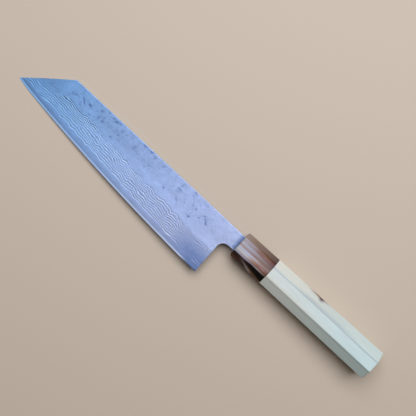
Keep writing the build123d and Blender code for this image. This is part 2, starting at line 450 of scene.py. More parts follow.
@dataclass
class BladeFace:
    """One face of the blade as a grid: rows from edge to spine, columns from the tip to the tang's end.

    Rows follow the bevel, the cladding line and the grind line. Past the heel only the rows above
    the choil go on, along the neck and the tang.
    """

    outline: Outline
    thickness: Thickness
    hammering: Hammering
    side: Side
    line_spacing: float = 1.74
    last_layer: float = 8.9
    relief: float = 0.006
    grind_blend: float = 0.09
    line_contrast: float = 0.78
    band_tone: float = 0.8
    full_pit: float = 0.05
    wave_depth: float = 0.004
    thinnest: float = 0.0005
    neck_level: float = 60.0
    spine_round: float = 0.3
    choil_round: float = 0.35
    heel_round: float = 0.15
    x: Array = field(init=False)
    y: Array = field(init=False)
    height: Array = field(init=False)
    core: Array = field(init=False)
    line_row: int = field(init=False)
    choil_row: int = field(init=False)
    heel_column: int = field(init=False)
    fields: dict[str, Array] = field(init=False)

    def __post_init__(self) -> None:
        """Works out the grid, the height of the face on it, and the values the steel reads."""
        self._lay_out()
        self._raise()

    def _lay_out(self) -> None:
        """Fills x and y: straight columns over the blade, then columns fanned round the choil.

        The rows are spread between levels above the edge: the bevel's top, the cladding line, the
        grind line and the height where the choil begins. Each step between levels is held under a
        share of the height that is left there, so that all of them close in towards the tip.
        """
        outline, thickness = self.outline, self.thickness
        centre, on_heel, on_neck = outline.choil()
        share = graded([(0, 0.004, 4), (0.004, 0.05, 18), (0.05, 0.9985, 330), (0.9985, 0.99975, 4),
                        (0.99975, 1, 1)])
        low_x = outline.tip_x + share * (outline.heel[0] - outline.tip_x)
        high_x = outline.tip_x + share * (on_heel[0] - outline.tip_x)
        edge_y, square = outline.edge(low_x)
        full = np.maximum(outline.back(high_x) - edge_y, 0.0)
        bevel = thickness.bevel_height / square
        line = thickness.cladding_line(low_x, self.side) / square
        grind = thickness.grind_line(low_x) / square
        margin = np.full_like(full, on_heel[1] - outline.heel[1] - grind[-1])
        levels = [np.zeros_like(full)]
        for step, most in ((bevel, 0.2), (line - bevel, 0.8), (grind - line, 0.8), (margin, 0.5)):
            levels.append(levels[-1] + held_under(step, most * (full - levels[-1])))
        leaning_to = np.maximum(levels[-1], 1e-9)
        levels.append(full)
        splits = [graded([(0, 0.96, 3), (0.96, 1, 1)]), graded([(0, 0.01, 1), (0.01, 1, 9)]),
                  np.linspace(0, 1, 50), np.linspace(0, 1, 7),
                  graded([(0, 0.016, 4), (0.016, 0.985, 42), (0.985, 1, 5)])]
        rows = [(start + (end - start) * split[:, None])[:-1]
                for start, end, split in zip(levels, levels[1:], splits)]
        up = np.concatenate([*rows, full[None]])
        ends = np.cumsum([len(row) for row in rows])
        self.line_row, self.choil_row = int(ends[1]), int(ends[3])
        self.heel_column = len(share) - 1
        blade_x = low_x + (high_x - low_x) * np.clip(up / leaning_to, 0, 1)
        start = math.atan2(*(on_heel - centre)[::-1]) % math.tau
        end = math.atan2(*(on_neck - centre)[::-1])
        angles = np.linspace(start, end, 22)[1:]
        tang_x = graded([(0, 96, 12), (96, outline.tang_length, 6)])[1:]
        neck_x = np.concatenate([centre[0] + outline.choil_radius * np.cos(angles),
                                 np.linspace(on_neck[0], 0, 9)[1:], tang_x])
        under = np.concatenate([centre[1] + outline.choil_radius * np.sin(angles),
                                np.linspace(on_neck[1], -outline.neck_height / 2, 9)[1:],
                                -outline.tang(tang_x)])
        neck_y = under + (outline.back(neck_x) - under) * splits[4][:, None]
        below = np.full((self.choil_row, len(neck_x)), np.nan)
        self.x = np.hstack([blade_x, np.vstack([below, np.tile(neck_x, (len(neck_y), 1))])])
        self.y = np.hstack([edge_y + up, np.vstack([below, neck_y])])

    def _raise(self) -> None:
        """Fills the heights of face and core, and the values that the steel's finish reads.

        Forged marks, waves and lines are cut into the even face, and its borders are rounded, but
        nowhere past the core. The face meets the core at the cladding line and ends at the edge.
        """
        outline, thickness = self.outline, self.thickness
        x, y = self.x, self.y
        blade = np.arange(x.shape[1])[None] <= self.heel_column
        above_edge = np.where(blade, np.maximum(outline.from_edge(x, y), 0), self.neck_level)
        bar = thickness.bar(x)
        even = np.where(blade, soft_least(thickness.ground(above_edge), bar, self.grind_blend), bar)
        line = above_edge[self.line_row, : self.heel_column + 1]
        core = thickness.ground(line)
        past_heel = core[-1] * bar[-1, self.heel_column + 1:] / bar[-1, self.heel_column]
        self.core = np.concatenate([core, past_heel])
        climb = above_edge - np.pad(line, (0, len(past_heel)), "edge")
        layer = self._layers(x, y, climb)
        over_grind = rise(above_edge - thickness.grind_line(x), -2.2, 2.2)
        forged = over_grind * rise(-x, 18, 28)
        pits = self.hammering.depth_at(outline, self.side, np.nan_to_num(x), np.nan_to_num(y)) * forged
        edge_gap, rim = self._borders(x, y, above_edge, blade)
        self.fields = {"layer": layer, "pit": np.clip(pits / self.full_pit, 0, 1), "rim": rim,
                       **self._shades(x, y, above_edge, climb, layer, over_grind, blade)}
        waves = self.wave_depth * (1 + Ripple(21, 6.5, 5.0).at(x, y)) * forged
        lines = self.relief * self.fields["contrast"] * (0.5 - 0.5 * np.sin(math.tau * layer))
        even = even - pits - waves - lines
        inner = self.core[None]
        room = np.maximum(even - inner, 0.0)
        even = np.where(even > inner, even - np.minimum(edge_gap, 0.6 * room), even)
        rows = np.arange(x.shape[0])[:, None]
        even = np.where((rows > self.line_row) & (even < inner), inner + self.thinnest, even)
        even = np.where((rows == self.line_row) & blade, inner, even)
        even = np.where((rows == 0) & blade, 0.0, even)
        even[:, 0] = 0.0
        self.core[0] = 0.0
        self.height = even

    def _shades(self, x: Array, y: Array, above_edge: Array, climb: Array, layer: Array, over_grind: Array,
                blade: Array) -> dict[str, Array]:
        """How strong the lines are, how bright the steel is, and how blue, at each point.

        The lines begin at the core's border and end at one line, which is the pattern's upper
        border. They are faint beyond it, and in a plain stretch before the heel. A dark blue patch
        lies on the ground face there. The forged flat is darker, with a painted highlight by the spine.
        Above the pattern the ground face is lighter towards the heel and darker towards the tip.
        A light spot lies above the heel, painted shade darkens the neck towards the ferrule, and the
        core's band is darker than the skin, most by the edge.
        """
        by_tip = rise(-x, 175, 202)
        last = self.last_layer - 1.2 * bell(x, -138, 9) + 1.5 * rise(x, -25, -13)
        ended = 1 - rise(layer - last + 5.0 * by_tip, 0, 0.25 + 1.5 * by_tip)
        patch = rise(x, -50, -20) * fade(layer - last, -0.3, 0.1)
        patch = np.where(blade, patch * (1 - 0.68 * rise(above_edge, 8, 18)), 0.0)
        corner = rise(x, -21, -17) * fade(above_edge, 7, 10)
        plain = rise(x, -50, -30) * (1 - 0.55 * rise(above_edge, 14, 18)) * (1 - corner)
        faint = 0.04 + 0.10 * rise(-x, 185, 200)
        strength = faint + (self.line_contrast - faint) * ended + 0.45 * bell(layer, 0.3, 0.4)
        contrast = rise(climb, 0, 0.5) * strength * (1 - 0.9 * plain)
        slow = Ripple(5 + self.side.value, 11.0, 7.0).at(x, y) + 0.6 * Ripple(9, 4.5, 3.0).at(x, y)
        forged = 1 - over_grind * (0.41 - 0.155 * rise(x, -130, -50) + 0.10 * rise(above_edge, 25, 33))
        # Painted highlight: the steel is painted lighter by the spine.
        painted_sheen = 0.06 + 0.155 * rise(-x, 140, 178) - 0.105 * rise(x, -102, -82) + 0.05 * rise(x, -62, -47)
        painted_sheen = painted_sheen * fade(self.outline.corner[1] - y, 4, 13) * fade(-x, 187, 193)
        painted_sheen = painted_sheen - 0.05 * rise(-x, 184, 190) * over_grind
        by_heel = rise(x, -38, -20) * rise(above_edge, 17, 21) * (0.04 + 0.05 * fade(above_edge, 23, 28))
        # Painted shade: the neck is painted darker towards the ferrule.
        neck = (1 - 0.25 * rise(x, -4, -1.5)) * (1 - 0.5 * rise(x, -1.2, -0.2))
        ground = 1 - over_grind
        upper_ground = 1 - rise(above_edge, 10, 16) * (0.04 + 0.14 * rise(-x, 145, 190)) * ground
        beyond = (1 - ended) * ground * (0.20 * rise(x, -90, -40) - 0.09)
        tone = (1 + 0.025 * slow + beyond) * forged * upper_ground * neck
        tone = tone * (1 - 0.07 * patch) * (1 + painted_sheen + by_heel)
        by_edge = fade(x, -75, -45) * (1 + 0.8 * rise(-x, 150, 175))
        band = self.band_tone + 0.15 * patch + (0.16 * rise(above_edge, 1.5, 5) - 0.07) * by_edge
        return {"contrast": np.where(blade, contrast, 0.0),
                "tone": np.where(blade & (climb < 0), tone * band, tone),
                "blue": np.maximum(patch, 0.8 * rise(x, -4.5, -1.5))}

    def _layers(self, x: Array, y: Array, climb: Array) -> Array:
        """Which layer the face cuts, counted from the core's border.

        The ground face climbs through even layers, so the count grows evenly with the climb. The
        border's waves fade out of it, so that the first line follows the border and the later
        ones run straighter. Forging has rippled the layers, so ripples fade in. Near the slanted
        back the bar was forged thinner, and there the lines turn up towards it.
        """
        outline = self.outline
        tip_y = outline.edge(np.array(outline.tip_x))[0]
        slope = (outline.corner[1] - tip_y) / outline.back_length
        below_back = np.maximum(tip_y + slope * (x - outline.tip_x) - y, 0) / math.hypot(1, slope)
        bend = 1.5 * (1 - np.exp(-below_back / 4.0)) * rise(-x, 192, 210)
        border_wave = self.thickness.cladding_line(x, self.side) - self.thickness.even_line(x)
        climbed = np.maximum(climb, 0)
        faded = 1 - np.exp(-climbed / 6.0)
        seed = 100 + 7 * self.side.value
        shifted = x + 1.6 * Ripple(seed + 3, 7.0, 5.0).at(x, y)
        ripples = (0.76 * Ripple(seed, 4.8, 9.0, kinked=True).at(shifted, y)
                   + 0.27 * Ripple(seed + 1, 2.6, 3.6, kinked=True).at(x, y)
                   + 0.18 * Ripple(seed + 4, 1.3, 1.7).at(x, y) + 0.45 * Ripple(seed + 2, 30.0, 7.0).at(x, y))
        ripples = ripples * (1 - np.exp(-climbed / 2.5))
        return (climb + bend + border_wave * faded) / self.line_spacing + ripples

    def _borders(self, x: Array, y: Array, above_edge: Array, blade: Array) -> tuple[Array, Array]:
        """How far the rounded borders fall below the face, and how polished each point is.

        A border of radius r falls by r less the root of r squared less (r - distance) squared.
        The bevel is polished, and so are the choil and, more faintly, the spine, each with a painted
        highlight.
        """
        outline = self.outline
        centre, on_heel, on_neck = outline.choil()

        def fall(distance: Array, radius: float) -> Array:
            """The fall at a distance inside a border."""
            inset = np.clip(radius - distance, 0, radius)
            return radius - np.sqrt(radius ** 2 - inset ** 2)

        below_spine = np.maximum(outline.back(x) - y, 0)
        lean = (on_heel[0] - outline.heel[0]) / (on_heel[1] - outline.heel[1])
        from_heel = outline.heel[0] + lean * (y - outline.heel[1]) - x
        from_heel = np.where(blade & (y < on_heel[1]), np.maximum(from_heel, 0), FAR)
        from_choil = np.hypot(x - centre[0], y - centre[1]) - outline.choil_radius
        neck = -outline.neck_height / 2 + outline.neck_flare / outline.neck_length * x
        from_neck = np.where(blade, FAR, y - np.where(x > 0, -outline.tang(x), neck))
        by_choil = (y > on_heel[1] - 1) & (x < on_neck[0])
        notch = np.maximum(np.where(by_choil, from_choil, from_neck), 0)
        falls = fall(below_spine, self.spine_round) + fall(notch, self.choil_round)
        falls = falls + fall(from_heel, self.heel_round)
        # The polished bevel, choil and spine are also painted lighter: a painted highlight.
        bevel = fade(above_edge, 1.15, 1.7) * rise(outline.heel[0] - x, 7.5, 18.5)
        spine = 0.35 * (1 - 0.6 * rise(x, -120, -70)) * fade(-x, 190, 205) * bell(below_spine, 0, 0.5)
        rim = np.maximum(np.where(blade, bevel, 0), 0.75 * bell(notch, 0, 0.7))
        return falls, np.maximum(rim, spine)

    def points(self, height: Array) -> Array:
        """The grid's points at a height from the middle plane, on this face's side of it."""
        return np.stack([self.x, self.y, self.side.value * np.broadcast_to(height, self.x.shape)], -1)

    def cells(self, first_row: int) -> Array:
        """Which cells of the grid are there, from a row on."""
        rows, columns = self.x.shape
        row, column = np.arange(rows - 1)[:, None], np.arange(columns - 1)[None]
        return (row >= first_row) & ((column < self.heel_column) | (row >= self.choil_row))


@dataclass
class Blade:
    """The blade with its tang: a hard core between two skins of layered steel."""

    outline: Outline = Outline()
    hammering: Hammering = Hammering()
    sharp_angle: float = 30.0

    def build(self, core_steel: Material, layered_steel: Material) -> list[Piece]:
        """Makes the three pieces, each in place of its solid."""
        thickness = Thickness(self.outline)
        faces = {side: BladeFace(self.outline, thickness, self.hammering, side) for side in Side}
        pieces = [dress(self._core(*faces.values()), core_steel, "core_steel")]
        for side, face in faces.items():
            node = f"cladding_{side.name.lower()}"
            pieces.append(dress(self._skin(f"{node}_forged", face), layered_steel, node))
        return pieces

    def _skin(self, name: str, face: BladeFace) -> Piece:
        """One skin: its face, the flat where it meets the core, and a wall between them."""
        outer, inner = face.points(face.height), face.points(face.core[None])
        top, bottom = (outer, inner) if face.side is Side.UPPER else (inner, outer)
        used, faces, points = closed_shell(top, bottom, face.cells(face.line_row))
        fields = {key: np.tile(values.ravel(), 2)[used] for key, values in face.fields.items()}
        return make_piece(name, points, faces, self.sharp_angle, fields)

    def _core(self, upper: BladeFace, lower: BladeFace) -> Piece:
        """The core: it shows between edge and cladding line, and is a thin flat slab above that."""
        rows = np.r_[0:upper.line_row + 1, upper.line_row + 4:upper.choil_row - 2:4,
                     upper.choil_row:len(upper.x) - 1:4, len(upper.x) - 1]
        top, bottom = (face.points(np.minimum(face.height, face.core[None]))[rows] for face in (upper, lower))
        columns = np.arange(upper.x.shape[1] - 1)[None]
        cells = (rows[:-1, None] >= upper.choil_row) | (columns < upper.heel_column)
        used, faces, points = closed_shell(top, bottom, cells)
        fields = {key: np.concatenate([face.fields[key][rows].ravel() for face in (upper, lower)])[used]
                  for key in ("tone", "rim", "blue")}
        return make_piece("core_steel_forged", points, faces, self.sharp_angle, fields)


@dataclass(frozen=True)
class EightSided:
    """The tapered eight-sided bar that ferrule and handle are made to."""

    length: float = 140.2
    widths: tuple[float, float] = (23.6, 25.5)
    thicknesses: tuple[float, float] = (18.5, 21.6)
    chamfers: tuple[float, float] = (6.9, 7.4)
    chamfer_slope: float = 0.85
    corner_radius: float = 0.5
    corner_points: int = 5
    flat_points: int = 12

    @property
    def count(self) -> int:
        """Points in one loop round the bar."""
        return 8 * (self.corner_points + self.flat_points)

    def loops(self, x: Array, inset: Array) -> Array:
        """Closed loops round the bar at stations x, each drawn in by its inset.

        The eight corners of a section follow from its width, thickness and chamfer. A corner is
        drawn in along its two flats' normals, and rounded by points one radius out from the
        centre that lies one radius inside both flats. Points between the corners are evenly spaced.

        Args:
            x: stations along the bar.
            inset: how far inside the bar's flats each loop lies.

        Returns:
            Points as stations by count by 3.
        """
        share = (x / self.length)[:, None]
        ends = (self.widths, self.thicknesses, self.chamfers)
        width, thick, chamfer = (front + (back - front) * share for front, back in ends)
        side, flat = width / 2, thick / 2
        in_y, in_z = side - chamfer, flat - chamfer * self.chamfer_slope
        ys = np.concatenate([side, side, in_y, -in_y, -side, -side, -in_y, in_y], 1)
        zs = np.concatenate([-in_z, in_z, flat, flat, in_z, -in_z, -flat, -flat], 1)
        corners = np.stack([ys, zs], -1)
        run = np.roll(corners, -1, 1) - corners
        run /= np.linalg.norm(run, axis=-1, keepdims=True)
        after = np.stack([run[..., 1], -run[..., 0]], -1)
        before = np.roll(after, 1, 1)
        lean = (before + after) / (1 + np.sum(before * after, -1, keepdims=True))
        centres = corners - (inset[:, None, None] + self.corner_radius) * lean
        turn = np.arccos(np.clip(np.sum(before * after, -1), -1, 1))[..., None, None]
        part = np.linspace(0, 1, self.corner_points)[:, None]
        normals = np.sin((1 - part) * turn) * before[:, :, None] + np.sin(part * turn) * after[:, :, None]
        rounded = centres[:, :, None] + self.corner_radius * (normals / np.sin(turn))
        start, end = rounded[:, :, -1:], np.roll(rounded, -1, 1)[:, :, :1]
        step = (np.arange(1, self.flat_points + 1) / (self.flat_points + 1))[:, None]
        loop = np.concatenate([rounded, start + (end - start) * step], 2).reshape(len(x), -1, 2)
        return np.concatenate([np.broadcast_to(x[:, None, None], (*loop.shape[:2], 1)), loop], -1)


@dataclass(frozen=True)
class Fit:
    """The joint inside the handle: a socket for the tang, and a tenon between wood and horn."""

    ferrule_length: float = 32.0
    front_wall: float = 5.0
    tenon_width: float = 18.5
    tenon_thickness: float = 13.0
    glue_gap: float = 0.1
    bedding_gap: float = 0.6
    root_height: float = 14.0
    socket_end_height: float = 9.7
    blade_thickness: float = 2.4
    tang_length: float = 98.0

    def socket(self, outer: Array, x: float) -> Array:
        """Loop of the tang's socket at x: the box's sides, met along the rays of the outer loop."""
        share = x / (self.tang_length + self.bedding_gap)
        start = self.root_height / 2 + self.bedding_gap
        high = start + (self.socket_end_height / 2 - start) * share
        deep = self.blade_thickness / 2 + self.bedding_gap
        angle = np.arctan2(outer[:, 2], outer[:, 1])
        reach = np.minimum(high / np.maximum(np.abs(np.cos(angle)), 1e-9),
                           deep / np.maximum(np.abs(np.sin(angle)), 1e-9))
        return self._loop(angle, reach, x)

    def tenon(self, outer: Array, x: float, gap: float) -> Array:
        """Loop of the round-ended tenon at x, grown by a gap, met along the rays of the outer loop."""
        radius = self.tenon_thickness / 2 + gap
        half = (self.tenon_width - self.tenon_thickness) / 2
        angle = np.arctan2(outer[:, 2], outer[:, 1])
        cosine, sine = np.abs(np.cos(angle)), np.maximum(np.abs(np.sin(angle)), 1e-9)
        round_end = half * cosine + np.sqrt(np.maximum(radius ** 2 - (half * sine) ** 2, 0))
        reach = np.where(radius * cosine <= half * sine, radius / sine, round_end)
        return self._loop(angle, reach, x)

    @staticmethod
    def _loop(angle: Array, reach: Array, x: float) -> Array:
        """Points at an angle and reach round the axis, at x."""
        return np.stack([np.full_like(angle, x), reach * np.cos(angle), reach * np.sin(angle)], 1)


def make_looped(name: str, loops: Sequence[Array], fields: Mapping[str, Array] | None = None) -> Piece:
    """Makes a piece as a skin over closed loops of equally many points, facing out of them."""
    points = np.stack(loops)
    rings, count = points.shape[:2]
    index = np.arange(rings)[:, None] * count + np.arange(count + 1) % count
    return make_piece(name, points.reshape(-1, 3), quads(index).reshape(-1, 4), 40.0, fields)


def drawn_in(loop: Array, share: float) -> Array:
    """A loop drawn straight in towards the axis, to a share of its size."""
    return loop * np.array([1.0, share, share])


def worn(loops: Array, wave: float, ripple: Ripple, hollow: float | Array = 0.0) -> Array:
    """Loops left slightly uneven by the hand: drawn in by a ripple of a wave's height and by a hollow."""
    x = loops[..., 0]
    number = np.broadcast_to(np.arange(loops.shape[1])[None], x.shape)
    depth = wave * (1 + ripple.at(x, number)) / 2 + hollow
    share = 1 - depth / GRIP_REACH
    return loops * np.stack([np.ones_like(x), share, share], -1)


@dataclass(frozen=True)
class Ferrule:
    """The horn ferrule: eased and polished, with the slot for the tang and the tenon's pocket."""

    bar: EightSided = EightSided(corner_radius=2.4, corner_points=7)
    fit: Fit = Fit()
    front_ease: float = 1.6
    joint_ease: float = 0.12
    polish_wave: float = 0.02

    def build(self, horn: Material) -> list[Piece]:
        """Makes the ferrule as loops carried round from its slot, over its flats, to its pocket."""
        fit, length, ease, joint = self.fit, self.fit.ferrule_length, self.front_ease, self.joint_ease
        turn = np.linspace(math.pi / 2, 0, 7)
        front = [(ease - ease * math.sin(a), ease - ease * math.cos(a)) for a in turn]
        middle = [(x, 0.0) for x in np.linspace(ease, length - joint, 60)[1:-1]]
        back = [(length - joint * (1 - share), joint * share ** 2) for share in (0.0, 0.5, 1.0)]
        stations = np.array(front + middle + back)
        outer = worn(self.bar.loops(*stations.T), self.polish_wave, Ripple(3, 9.0, 11.0))
        first, last, inner = outer[0], outer[-1], fit.front_wall
        loops = [*(fit.socket(first, x) for x in (inner, 2.5, 0.15)),
                 fit.socket(first, 0.0) * np.array([1, 1.012, 1.05]), drawn_in(first, 0.5), *outer,
                 drawn_in(last, 0.9),
                 *(fit.tenon(last, x, fit.glue_gap) for x in (length, (length + inner) / 2, inner)),
                 fit.socket(first, inner)]
        return [dress(make_looped("ferrule_polished", loops), horn, "ferrule")]


@dataclass(frozen=True)
class Handle:
    """The wooden handle: eight planed flats, an eased butt, and the tenon that enters the ferrule."""

    bar: EightSided = EightSided(flat_points=16)
    fit: Fit = Fit()
    butt_ease: float = 0.9
    joint_ease: float = 0.15
    plane_wave: float = 0.025
    knot_place: tuple[float, float, float] = (76.5, 11.6, 4.4)
    knot_size: tuple[float, float, float] = (1.6, 1.6, 1.8)
    knot_depth: float = 0.25

    def build(self, wood: Material) -> list[Piece]:
        """Makes the handle as loops carried from its socket, over tenon and flats, to the butt."""
        fit, start, end, ease, joint = (self.fit, self.fit.ferrule_length, self.bar.length, self.butt_ease,
                                        self.joint_ease)
        turn = np.linspace(0, math.pi / 2, 8)[1:]
        front = [(start + joint * share ** 2, joint * (1 - share)) for share in (0.0, 0.5, 1.0)]
        middle = [(x, 0.0) for x in np.linspace(start + joint, end - ease, 170)[1:]]
        butt = [(end - ease + ease * math.sin(a), ease - ease * math.cos(a)) for a in turn]
        stations = np.array(front + middle + butt)
        flats = self.bar.loops(*stations.T)
        outer = worn(flats, self.plane_wave, Ripple(12, 24.0, 21.0), self._dried_knot(flats))
        first, last = outer[0], outer[-1]
        nose = fit.front_wall + fit.glue_gap
        floor = fit.socket(first, fit.tang_length + fit.bedding_gap)
        loops = [drawn_in(floor, 0.0), floor, fit.socket(first, nose), fit.tenon(first, nose, 0.0),
                 fit.tenon(first, start, 0.0), drawn_in(first, 0.92), *outer,
                 *(drawn_in(last, share) for share in (0.8, 0.6, 0.4, 0.2, 0.0))]
        # Points on the rounded corners, which the wood paints lighter: a painted highlight.
        arris = np.arange(self.bar.count) % (self.bar.count // 8) < self.bar.corner_points
        piece = make_looped("handle_planed", loops, {"arris": np.tile(arris, len(loops))})
        return [dress(piece, wood, "handle")]

    def _dried_knot(self, loops: Array) -> Array:
        """How far the knot has sunk where it dried: a bell in all three directions."""
        away = (loops - self.knot_place) / self.knot_size
        return self.knot_depth * np.exp(-np.sum(away ** 2, -1))


def dress(piece: Piece, material: Material, node: str) -> Piece:
    """Gives a new piece its material, lets it ride, and puts it in place of its solid."""
    piece.data.materials.append(material)
    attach(piece, BODY)
    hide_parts(node)
    return piece


# Finishes

def srgb(red: int, green: int, blue: int) -> Colour:
    """A colour as it is seen on a screen, 0 to 255, as the linear values that shaders take."""
    def linear(value: int) -> float:
        """One channel, by the curve that screens use."""
        share = value / 255
        return share / 12.92 if share <= 0.04045 else ((share + 0.055) / 1.055) ** 2.4
    return linear(red), linear(green), linear(blue), 1.0


def tones(*stops: tuple[float, int, int, int]) -> Tones:
    """A colour ramp's stops, each given as its place and a colour as it is seen on a screen."""
    return tuple((place, srgb(*colour)) for place, *colour in stops)


class Value:
    """A number given by a shader node, on which Python's operators add Math nodes."""

    def __init__(self, graph: "Graph", socket: Socket) -> None:
        """Wraps one output socket."""
        self.graph, self.socket = graph, socket

    def math(self, operation: str, *others: "Number", clamp: bool = False) -> "Value":
        """This value put through a Math node with others after it."""
        return self.graph.math(operation, self, *others, clamp=clamp)

    def __add__(self, other: "Number") -> "Value":
        """Sum."""
        return self.math("ADD", other)

    def __sub__(self, other: "Number") -> "Value":
        """Difference."""
        return self.math("SUBTRACT", other)

    def __rsub__(self, other: "Number") -> "Value":
        """Difference from a plain number."""
        return self.graph.math("SUBTRACT", other, self)

    def __mul__(self, other: "Number") -> "Value":
        """Product."""
        return self.math("MULTIPLY", other)

    def __truediv__(self, other: "Number") -> "Value":
        """Quotient."""
        return self.math("DIVIDE", other)

    def __pow__(self, other: "Number") -> "Value":
        """Power."""
        return self.math("POWER", other)

    __radd__, __rmul__ = __add__, __mul__

    def sine(self) -> "Value":
        """Sine of an angle in radians."""
        return self.math("SINE")

    def held(self) -> "Value":
        """The value kept between 0 and 1."""
        return self.math("ADD", 0.0, clamp=True)

    def rise(self, low: float, high: float) -> "Value":
        """0 below low, 1 above high, and an S-shaped rise between them."""
        node = self.graph.node("ShaderNodeMapRange", {"interpolation_type": "SMOOTHSTEP"},
                               {"Value": self, "From Min": low, "From Max": high})
        return Value(self.graph, node.outputs["Result"])

    def fade(self, low: float, high: float) -> "Value":
        """1 below low, 0 above high: the rise turned over."""
        return 1.0 - self.rise(low, high)

    def bell(self, middle: float, width: float) -> "Value":
        """A bell of height 1 about middle: e to the minus square of the distance in widths."""
        away = (self - middle) / width
        return self.graph.math("EXPONENT", away * away * -1.0)


Number = Union[Value, float]
Input = Union[Value, Socket, float, Sequence[float]]


class Graph:
    """The nodes of one material, or of the sky."""

    def __init__(self, owner: Material | bpy.types.World) -> None:
        """Clears the nodes of a new material or sky."""
        self.owner = owner
        owner.use_nodes = True
        self.tree = owner.node_tree
        self.tree.nodes.clear()

    def node(self, kind: str, settings: Mapping[str, Any] | None = None,
             inputs: Mapping[str | int, Input] | None = None) -> bpy.types.Node:
        """Adds a node.

        Args:
            kind: the node's type.
            settings: its properties, set first. The key stops takes a ramp's (place, colour) pairs.
            inputs: values or links for its sockets, by name or number.

        Returns:
            The node.
        """
        node = self.tree.nodes.new(kind)
        for key, value in (settings or {}).items():
            if key == "stops":
                self._set_stops(node.color_ramp, value)
            else:
                setattr(node, key, value)
        for key, value in (inputs or {}).items():
            source = value.socket if isinstance(value, Value) else value
            if isinstance(source, Socket):
                self.tree.links.new(source, node.inputs[key])
            else:
                node.inputs[key].default_value = source
        return node

    @staticmethod
    def _set_stops(ramp: bpy.types.ColorRamp, stops: Tones) -> None:
        """Puts a ramp's stops at their places."""
        while len(ramp.elements) < len(stops):
            ramp.elements.new(1.0)
        for element, (place, colour) in zip(ramp.elements, stops):
            element.position, element.color = place, colour

    def math(self, operation: str, *values: Number, clamp: bool = False) -> Value:
        """A Math node on up to three values."""
        settings = {"operation": operation, "use_clamp": clamp}
        return Value(self, self.node("ShaderNodeMath", settings, dict(enumerate(values))).outputs[0])

    def place(self) -> Socket:
        """The point in the knife's straight frame, in millimetres: Object coordinates laid back up."""
        where = self.node("ShaderNodeTexCoord").outputs["Object"]
        inputs = {"Vector": where, "Location": [v * MM for v in REST.shift],
                  "Rotation": (0.0, -math.radians(REST.drop), 0.0), "Scale": (MM, MM, MM)}
        return self.node("ShaderNodeMapping", {"vector_type": "TEXTURE"}, inputs).outputs["Vector"]

    def axes(self, point: Socket) -> tuple[Value, Value, Value]:
        """The three coordinates of a point."""
        node = self.node("ShaderNodeSeparateXYZ", None, {"Vector": point})
        return tuple(Value(self, socket) for socket in node.outputs)

    def noise(self, point: Socket, scale: Sequence[float], detail: float = 2.0,
              rough: float = 0.5, warp: float = 0.0) -> Value:
        """Smooth noise from 0 to 1 with cells of one over scale millimetres."""
        stretched = self.node("ShaderNodeVectorMath", {"operation": "MULTIPLY"}, {0: point, 1: scale})
        inputs = {"Vector": stretched.outputs[0], "Scale": 1.0, "Detail": detail, "Roughness": rough,
                  "Distortion": warp}
        return Value(self, self.node("ShaderNodeTexNoise", None, inputs).outputs[0])

    def kept(self, name: str) -> Value:
        """A value kept at the mesh's points."""
        return Value(self, self.node("ShaderNodeAttribute", {"attribute_name": name}).outputs["Fac"])

    def ramp(self, factor: Value, stops: Tones) -> Socket:
        """A colour ramp read at a factor."""
        return self.node("ShaderNodeValToRGB", {"stops": stops}, {"Fac": factor}).outputs["Color"]

    def blend(self, factor: Number, first: Input, second: Input, mode: str = "MIX") -> Socket:
        """A Mix node on two colours."""
        settings = {"data_type": "RGBA", "blend_type": mode}
        return self.node("ShaderNodeMix", settings, {0: factor, 6: first, 7: second}).outputs[2]

    def brightened(self, colour: Socket, factor: Value) -> Socket:
        """A colour times a number."""
        inputs = {"Vector": colour, "Scale": factor}
        return self.node("ShaderNodeVectorMath", {"operation": "SCALE"}, inputs).outputs[0]

    def finish(self, settings: Mapping[str, Input], height: Value | None = None,
               distance: float = 0.0) -> Material:
        """Joins the shader to the output.

        Args:
            settings: values or links for the Principled shader's sockets.
            height: relief of the surface, 0 to 1.
            distance: depth of that relief, in millimetres.

        Returns:
            The material.
        """
        inputs = dict(settings)
        if height is not None:
            relief = {"Strength": 1.0, "Distance": distance * MM, "Height": height}
            inputs["Normal"] = self.node("ShaderNodeBump", None, relief).outputs["Normal"]
        shader = self.node("ShaderNodeBsdfPrincipled", None, inputs)
        self.node("ShaderNodeOutputMaterial", None, {"Surface": shader.outputs["BSDF"]})
        return self.owner


# The core's blue colour, lighter towards the neck: partly the steel's tint, partly a painted reflection.
CORE_CAST = tones((0.07, 101, 139, 190), (0.26, 117, 153, 205), (0.39, 130, 162, 212), (0.53, 147, 173, 223),
                  (0.66, 161, 182, 232), (0.78, 170, 188, 238), (1.0, 176, 192, 240))


